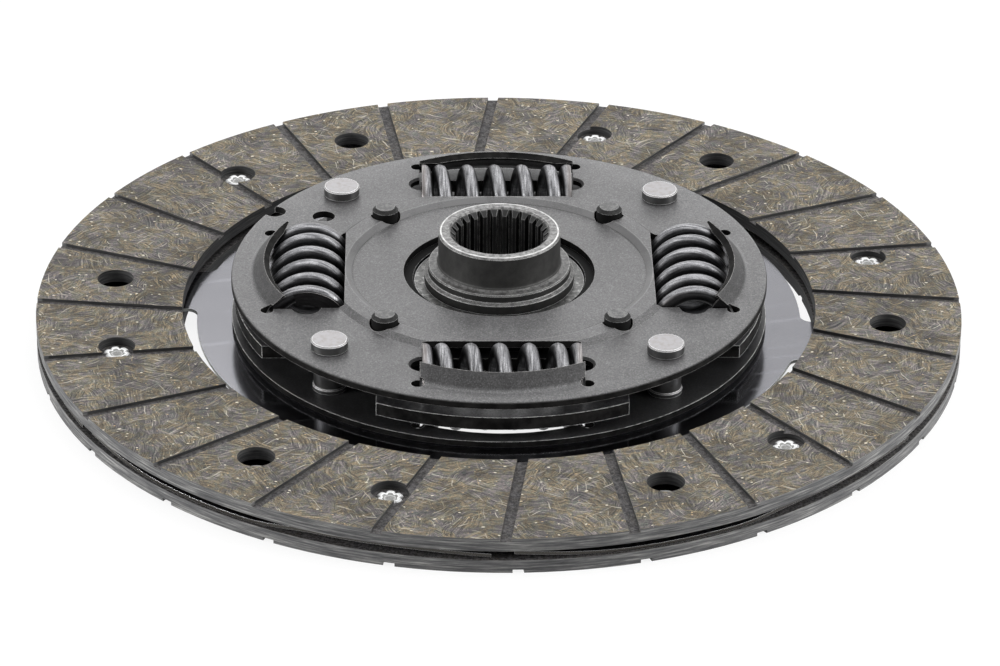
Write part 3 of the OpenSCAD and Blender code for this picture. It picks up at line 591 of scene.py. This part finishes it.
def plastic_look(name, colour, roughness):
    """Glass-filled plastic with a fine moulded grain and rubbed tops, painted highlights along its edges, and
    painted shade that makes it nearly black on its walls and below the upper plate."""
    g = new_look(name)
    grain = g.noise(0.4 * MM, 4, 0.7)
    tint = g.mix(grain, scaled(colour, 0.4), scaled(colour, 1.8))
    rubbed = g.rise(g.noise(1.3 * MM, 4, 0.7), 0.45, 0.62)
    tint = g.mix(rubbed, tint, scaled(colour, 2.6))
    # Painted shade: nearly black on the walls and below the upper plate.
    shade_below_plate = g.rise(g.z, PLATE_TOP + 0.4 * MM, PLATE_TOP)
    wall = g.math("MAXIMUM", g.upright(0.95, 0.6), shade_below_plate)
    tint = g.mix(wall, tint, (0.006, 0.006, 0.006))
    normal, edge = g.edges(0.25 * MM)
    # Painted highlight along the edges, in patches.
    patchy_edge_highlight = g.rise(g.noise(0.9 * MM, 3), 0.36, 0.5, 0.25, 0.9)
    tint = g.mix(g.times(edge, patchy_edge_highlight), tint, scaled(colour, 9))
    return g.finish(Base_Color=tint, Roughness=g.blend(wall, roughness, 0.8), Specular_IOR_Level=0.4,
                    Metallic=g.times(wall, 0.7), Normal=g.bump(grain, 0.03 * MM, normal))


# Meshes

def mesh_object(name, points, faces, material, smooth_angle=SMOOTH_ANGLE):
    mesh = bpy.data.meshes.new(name)
    mesh.from_pydata([tuple(p) for p in points], [], faces)
    mesh.validate()
    made = bmesh.new()
    made.from_mesh(mesh)
    bmesh.ops.recalc_face_normals(made, faces=made.faces)
    for edge in made.edges:
        edge.smooth = edge.calc_face_angle(0.0) < smooth_angle
    for face in made.faces:
        face.smooth = True
    made.to_mesh(mesh)
    made.free()
    mesh.materials.append(material)
    piece = bpy.data.objects.new(name, mesh)
    bpy.context.scene.collection.objects.link(piece)
    return piece


def tube_faces(rings, sides):
    """Quads between rings of points, closed by a cap at each end."""
    faces = [
        (k * sides + i, k * sides + (i + 1) % sides, (k + 1) * sides + (i + 1) % sides, (k + 1) * sides + i)
        for k in range(rings - 1) for i in range(sides)
    ]
    last = (rings - 1) * sides
    return faces + [tuple(range(sides - 1, -1, -1)), tuple(range(last, last + sides))]


def coil_spring(index, material):
    """Torsion spring with closed and ground ends, along the tangent of its window."""
    length = SPRING_LENGTH
    wire_r = WIRE_D / 2
    mean_r = SPRING_D / 2 - wire_r
    half_turns = SPRING_TURNS / 2
    tip_x = length / 2 + wire_r - TIP_T
    closed = WIRE_D + COIL_GAP
    opened = (tip_x - closed * (1 + EASING / 2)) / (half_turns - 1 - EASING / 2)

    def half_way(t):
        """Way along the axis after t turns from an end: closed for one turn, then eased open."""
        if t < 1:
            return closed * t
        if t < 1 + EASING:
            return closed * t + (opened - closed) * (t - 1) ** 2 / EASING / 2
        return closed + opened * (t - 1) - (opened - closed) * EASING / 2

    sides = WIRE_SIDES
    rings = round(SPRING_TURNS * RINGS_A_TURN) + 1
    twist = math.radians(90 - 180 * (SPRING_TURNS - 6) + SPRING_ROLL[index])
    turn = Matrix.Rotation(math.radians(WINDOW_TURN) + math.tau * index / SPRING_COUNT, 4, "Z")
    points = []
    for k in range(rings):
        t = SPRING_TURNS * k / (rings - 1)
        x = half_way(t) - tip_x if t < half_turns else tip_x - half_way(SPRING_TURNS - t)
        end = -1 if x < 0 else 1
        reach = (length / 2 - abs(x)) / wire_r
        flat = max(math.pi / sides, math.acos(reach) if reach < 1 else 0)
        a = math.tau * t + twist
        for i in range(sides):
            step = i if x < 0 else (i + sides // 2) % sides
            w = end * math.pi / 2 + flat + (math.tau - 2 * flat) * step / (sides - 1)
            r = mean_r + wire_r * math.cos(w)
            y = x + wire_r * math.sin(w)
            points.append((SPRING_R - r * math.cos(a), y, SPRING_AXIS_Z + r * math.sin(a)))
    spring = mesh_object(f"coil_spring_{index + 1}", points, tube_faces(rings, sides), material)
    spring.matrix_world = turn
    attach(spring, "springs")
    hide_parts(f"torsion_spring_{index + 1}")
    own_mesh(spring)


def rolled_rivet(low, seat, upward):
    """Points and faces of one rivet, whose rolled end has lobes round a shallow dish. low is the head's far
    face and seat is the face that the rolled end bears on; upward is 1 or -1."""
    head_r, head_t = RIVET_HEAD_R, RIVET_HEAD_T
    profile = [
        (0.0, low, 0),
        (head_r - 0.25 * MM, low, 0),
        (head_r, low + 0.2 * MM, 0),
        (head_r, low + head_t, 0),
        (RIVET_SHANK_R, low + head_t, 0),
        (RIVET_SHANK_R, seat, 0),
        (head_r - 0.1 * MM, seat, 1),
        (head_r, seat + 0.22 * MM, 1),
        (head_r - 0.3 * MM, seat + 0.55 * MM, 1),
        (head_r - 0.8 * MM, seat + head_t, 1),
        (head_r - 1.15 * MM, seat + head_t - 0.05 * MM, 0.9),
        (RIVET_DISH_R + 0.5 * MM, seat + 0.45 * MM, 0.6),
        (RIVET_DISH_R, seat + RIVET_DISH_Z, 0.2),
        (0.0, seat + RIVET_DISH_Z, 0),
    ]
    points = []
    for r, z, petal in profile:
        for i in range(RIVET_SIDES):
            a = math.tau * i / RIVET_SIDES
            notch = (0.5 + 0.5 * math.cos(RIVET_LOBES * a)) ** 3 * petal
            reach = r * (1 - NOTCH_SHARE * notch)
            drop = NOTCH_DROP * notch if z > seat else 0
            points.append(Vector((reach * math.cos(a), reach * math.sin(a), upward * (z - drop))))
    return points, tube_faces(len(profile), RIVET_SIDES)


def rivet_set(name, node, first_angle, upward, material):
    """The six rivets of one facing. upward is 1 where their rolled ends are on top, and -1 where their heads
    are."""
    low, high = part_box(node)
    low_and_seat = (low.z, high.z - RIVET_HEAD_T) if upward > 0 else (-high.z, -low.z - RIVET_HEAD_T)
    one, faces = rolled_rivet(*low_and_seat, upward)
    points, all_faces = [], []
    for k in range(RIVET_COUNT):
        turn = Matrix.Rotation(math.radians(first_angle) + math.tau * k / RIVET_COUNT, 4, "Z")
        spin = Matrix.Rotation(RIVET_SPIN * k, 4, "Z")
        start = len(points)
        points += [turn @ (Vector((RIVET_CIRCLE_R, 0, 0)) + spin @ p) for p in one]
        all_faces += [tuple(start + i for i in face) for face in faces]
    rivets = mesh_object(name, points, all_faces, material, RIVET_SMOOTH_ANGLE)
    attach(rivets, "disc")
    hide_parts(node)


def smooth_shading():
    """Modifier group that joins the frame's separate faces and shades shallow edges smooth."""
    group = bpy.data.node_groups.new("smooth_shading", "GeometryNodeTree")
    group.interface.new_socket("Geometry", in_out="INPUT", socket_type="NodeSocketGeometry")
    group.interface.new_socket("Geometry", in_out="OUTPUT", socket_type="NodeSocketGeometry")
    make = group.nodes.new
    link = group.links.new
    merge = make("GeometryNodeMergeByDistance")
    merge.inputs["Distance"].default_value = CAD_MERGE_GAP
    strip = make("GeometryNodeRemoveAttribute")
    strip.inputs["Name"].default_value = "custom_normal"
    faces = make("GeometryNodeSetShadeSmooth")
    edges = make("GeometryNodeSetShadeSmooth")
    edges.domain = "EDGE"
    edges.inputs["Shade Smooth"].default_value = False
    angle = make("GeometryNodeInputMeshEdgeAngle")
    sharp = make("FunctionNodeCompare")
    sharp.data_type = "FLOAT"
    sharp.operation = "GREATER_THAN"
    sharp.inputs["B"].default_value = CAD_SMOOTH_ANGLE
    link(make("NodeGroupInput").outputs[0], merge.inputs["Geometry"])
    link(merge.outputs["Geometry"], strip.inputs["Geometry"])
    link(strip.outputs["Geometry"], faces.inputs["Geometry"])
    link(faces.outputs["Geometry"], edges.inputs["Geometry"])
    link(angle.outputs["Unsigned Angle"], sharp.inputs["A"])
    link(sharp.outputs["Result"], edges.inputs["Selection"])
    link(edges.outputs["Geometry"], make("NodeGroupOutput").inputs[0])
    return group


# Finishes of the CAD nodes

upper_retainer = dark_steel(
    "upper_retainer_steel", (0.088, 0.087, 0.089), roughness=0.40, specular=0.45,
    painted_lines=[
        # On the bead: the inner slope painted lighter, painted shade along its foot and a painted highlight along
        # its top.
        (BEAD_IN_R + BEAD_SLOPE_W / 2, 1.3 * MM, 0.9, (0.125, 0.124, 0.126)),
        (BEAD_IN_R, 0.30 * MM, 0.9, (0.014, 0.014, 0.014)),
        (BEAD_IN_R + BEAD_SLOPE_W, 0.35 * MM, 0.25, (0.30, 0.30, 0.30)),
    ])
# Painted shade: the lower plate gets a much darker colour than the upper one because it lies under it, and its
# edges a strong painted highlight.
lower_retainer = dark_steel(
    "lower_retainer_shaded_steel", (0.03, 0.03, 0.031), roughness=0.4, specular=0.35, worn_and_highlit=(0.80, 0.80, 0.79),
    edge_share=0.95, edge_w=0.26 * MM)
# The flange's edges get a strong light tint: a painted highlight.
flange = dark_steel(
    "flange_steel", (0.050, 0.050, 0.052), roughness=0.38, specular=0.35, worn_and_highlit=(0.90, 0.90, 0.89),
    edge_share=1.0, edge_w=0.32 * MM, wall_light=1.2, rubbed=0.6)
# The pins' sides get painted shade.
pins = bright_steel(
    "pin_steel", (0.265, 0.26, 0.266), roughness=0.42, tarnish=0.3, shaded_wall_colour=(0.12, 0.12, 0.12))
collar = bright_steel("collar_steel", (0.10, 0.10, 0.098), roughness=0.45, tarnish=0.0, patches=0.7)
cone_steel = bright_steel("disc_spring_steel", (0.014, 0.014, 0.015), roughness=0.55, tarnish=0.0)
plastic = plastic_look("black_plastic", (0.055, 0.055, 0.055), roughness=0.45)
looks = {
    "hub": hub_look("hub_steel"),
    "hub_flange": flange,
    "retaining_collar": collar,
    "upper_retainer_plate": upper_retainer,
    "lower_retainer_plate": lower_retainer,
    "driven_plate": driven_look("driven_steel"),
    "upper_facing": facing_look("upper_friction_face", FACE_TOP, inward=-1, wall_light=1.2),
    "lower_facing": facing_look("lower_friction_face", FACE_LOW, inward=1, wall_light=1.35),
    "upper_disc_spring": cone_steel,
    "lower_disc_spring": cone_steel,
    "friction_ring": plastic,
    "lower_friction_washer": plastic,
    "centring_bush": plastic,
    **{f"stop_pin_{i + 1}": pins for i in range(SPRING_COUNT)},
}
shading = smooth_shading()
for node_name, look in looks.items():
    node = nodes[node_name]
    for material_slot in node.material_slots:
        material_slot.material = look
    node.modifiers.new("smooth_shading", "NODES").node_group = shading


# Springs and rivets

spring_steel = spring_look("spring_steel")
for spring_index in range(SPRING_COUNT):
    coil_spring(spring_index, spring_steel)
dish_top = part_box("upper_facing_rivets")[1].z - 0.15 * MM
zinc = zinc_look("zinc_rivet", (0.62, 0.63, 0.63), dish_top)
# The heads of the lower facing's rivets, deep in the holes of the upper facing, get painted shade: a dark grey
# colour.
shaded_rivet_steel = bright_steel("dark_rivet", (0.12, 0.12, 0.125), roughness=0.4, tarnish=0.3)
rivet_set("upper_rivets", "upper_facing_rivets", UPPER_RIVET_ANGLE, 1, zinc)
rivet_set("lower_rivets", "lower_facing_rivets", LOWER_RIVET_ANGLE, -1, shaded_rivet_steel)


# Floor, light and camera

def seen_directly(g):
    """1 for camera, glossy and transmission rays, 0 for the light that falls on the object."""
    path = g.add("LightPath").outputs
    camera_or_glossy = g.math("MAXIMUM", path["Is Camera Ray"], path["Is Glossy Ray"])
    return g.math("MAXIMUM", camera_or_glossy, path["Is Transmission Ray"])


def floor_look():
    """White where it is seen, with a faint shadow, and mid grey for the light that it throws up."""
    g = new_look("pale_floor")
    lit = g.add("BsdfDiffuse", {"Color": (0.45, 0.45, 0.45)}).outputs["BSDF"]
    faint = g.add("BsdfDiffuse", {"Color": (0.16, 0.16, 0.16)}).outputs["BSDF"]
    glow = g.add("Emission", {"Color": (1, 1, 1), "Strength": 0.86}).outputs["Emission"]
    pale = g.add("AddShader", {0: faint, 1: glow}).outputs["Shader"]
    either = g.add("MixShader", {0: seen_directly(g), 1: lit, 2: pale}).outputs["Shader"]
    g.add("OutputMaterial", {"Surface": either})
    return g.owner


def make_floor():
    size = FLOOR_HALF
    corners = [(-size, -size, 0), (size, -size, 0), (size, size, 0), (-size, size, 0)]
    floor = mesh_object("floor", corners, [(0, 1, 2, 3)], floor_look())
    floor.location.z = FACE_LOW - FLOOR_GAP


def make_world():
    world = bpy.data.worlds.new("studio")
    bpy.context.scene.world = world
    g = Graph(world)
    strength = g.rise(seen_directly(g), 0.0, 1.0, SKY_LIGHT, 1.0)
    background = g.add("Background", {"Strength": strength})
    g.add("OutputWorld", {"Surface": background.outputs["Background"]})


def softbox(name, place, size, power):
    """Area lamp that faces the disc. Place and size are in metres, power is in watts."""
    data = bpy.data.lights.new(name, "AREA")
    data.shape = "RECTANGLE"
    data.size, data.size_y = size
    data.energy = power
    lamp = bpy.data.objects.new(name, data)
    bpy.context.scene.collection.objects.link(lamp)
    lamp.location = place
    lamp.rotation_euler = (-Vector(place)).to_track_quat("-Z", "Y").to_euler()


def make_camera():
    data = bpy.data.cameras.new("camera")
    data.lens = LENS
    data.sensor_width = SENSOR
    data.clip_start = CLIP_START
    camera = bpy.data.objects.new("camera", data)
    bpy.context.scene.collection.objects.link(camera)
    bpy.context.scene.camera = camera
    sin_e, cos_e = math.sin(CAMERA_ELEVATION), math.cos(CAMERA_ELEVATION)
    back = Vector((0, -cos_e, sin_e))
    level_right = Vector((1, 0, 0))
    level_up = Vector((0, sin_e, cos_e))
    right = level_right * math.cos(CAMERA_ROLL) + level_up * math.sin(CAMERA_ROLL)
    up = level_up * math.cos(CAMERA_ROLL) - level_right * math.sin(CAMERA_ROLL)
    turn = Matrix((right, up, back)).transposed().to_4x4()
    camera.matrix_world = Matrix.Translation(CAMERA_TARGET + back * CAMERA_DISTANCE) @ turn


make_floor()
make_world()
softbox("top_softbox", (0.2, 0.4, 1.2), (2.6, 1.7), 26)
softbox("left_softbox", (-1.1, -0.3, 0.24), (0.5, 0.6), 11)
softbox("right_softbox", (1.1, -0.2, 0.26), (0.5, 0.6), 10)
softbox("back_softbox", (0.0, 1.3, 0.4), (1.6, 0.35), 4)
make_camera()
bpy.context.scene.view_settings.view_transform = "Standard"
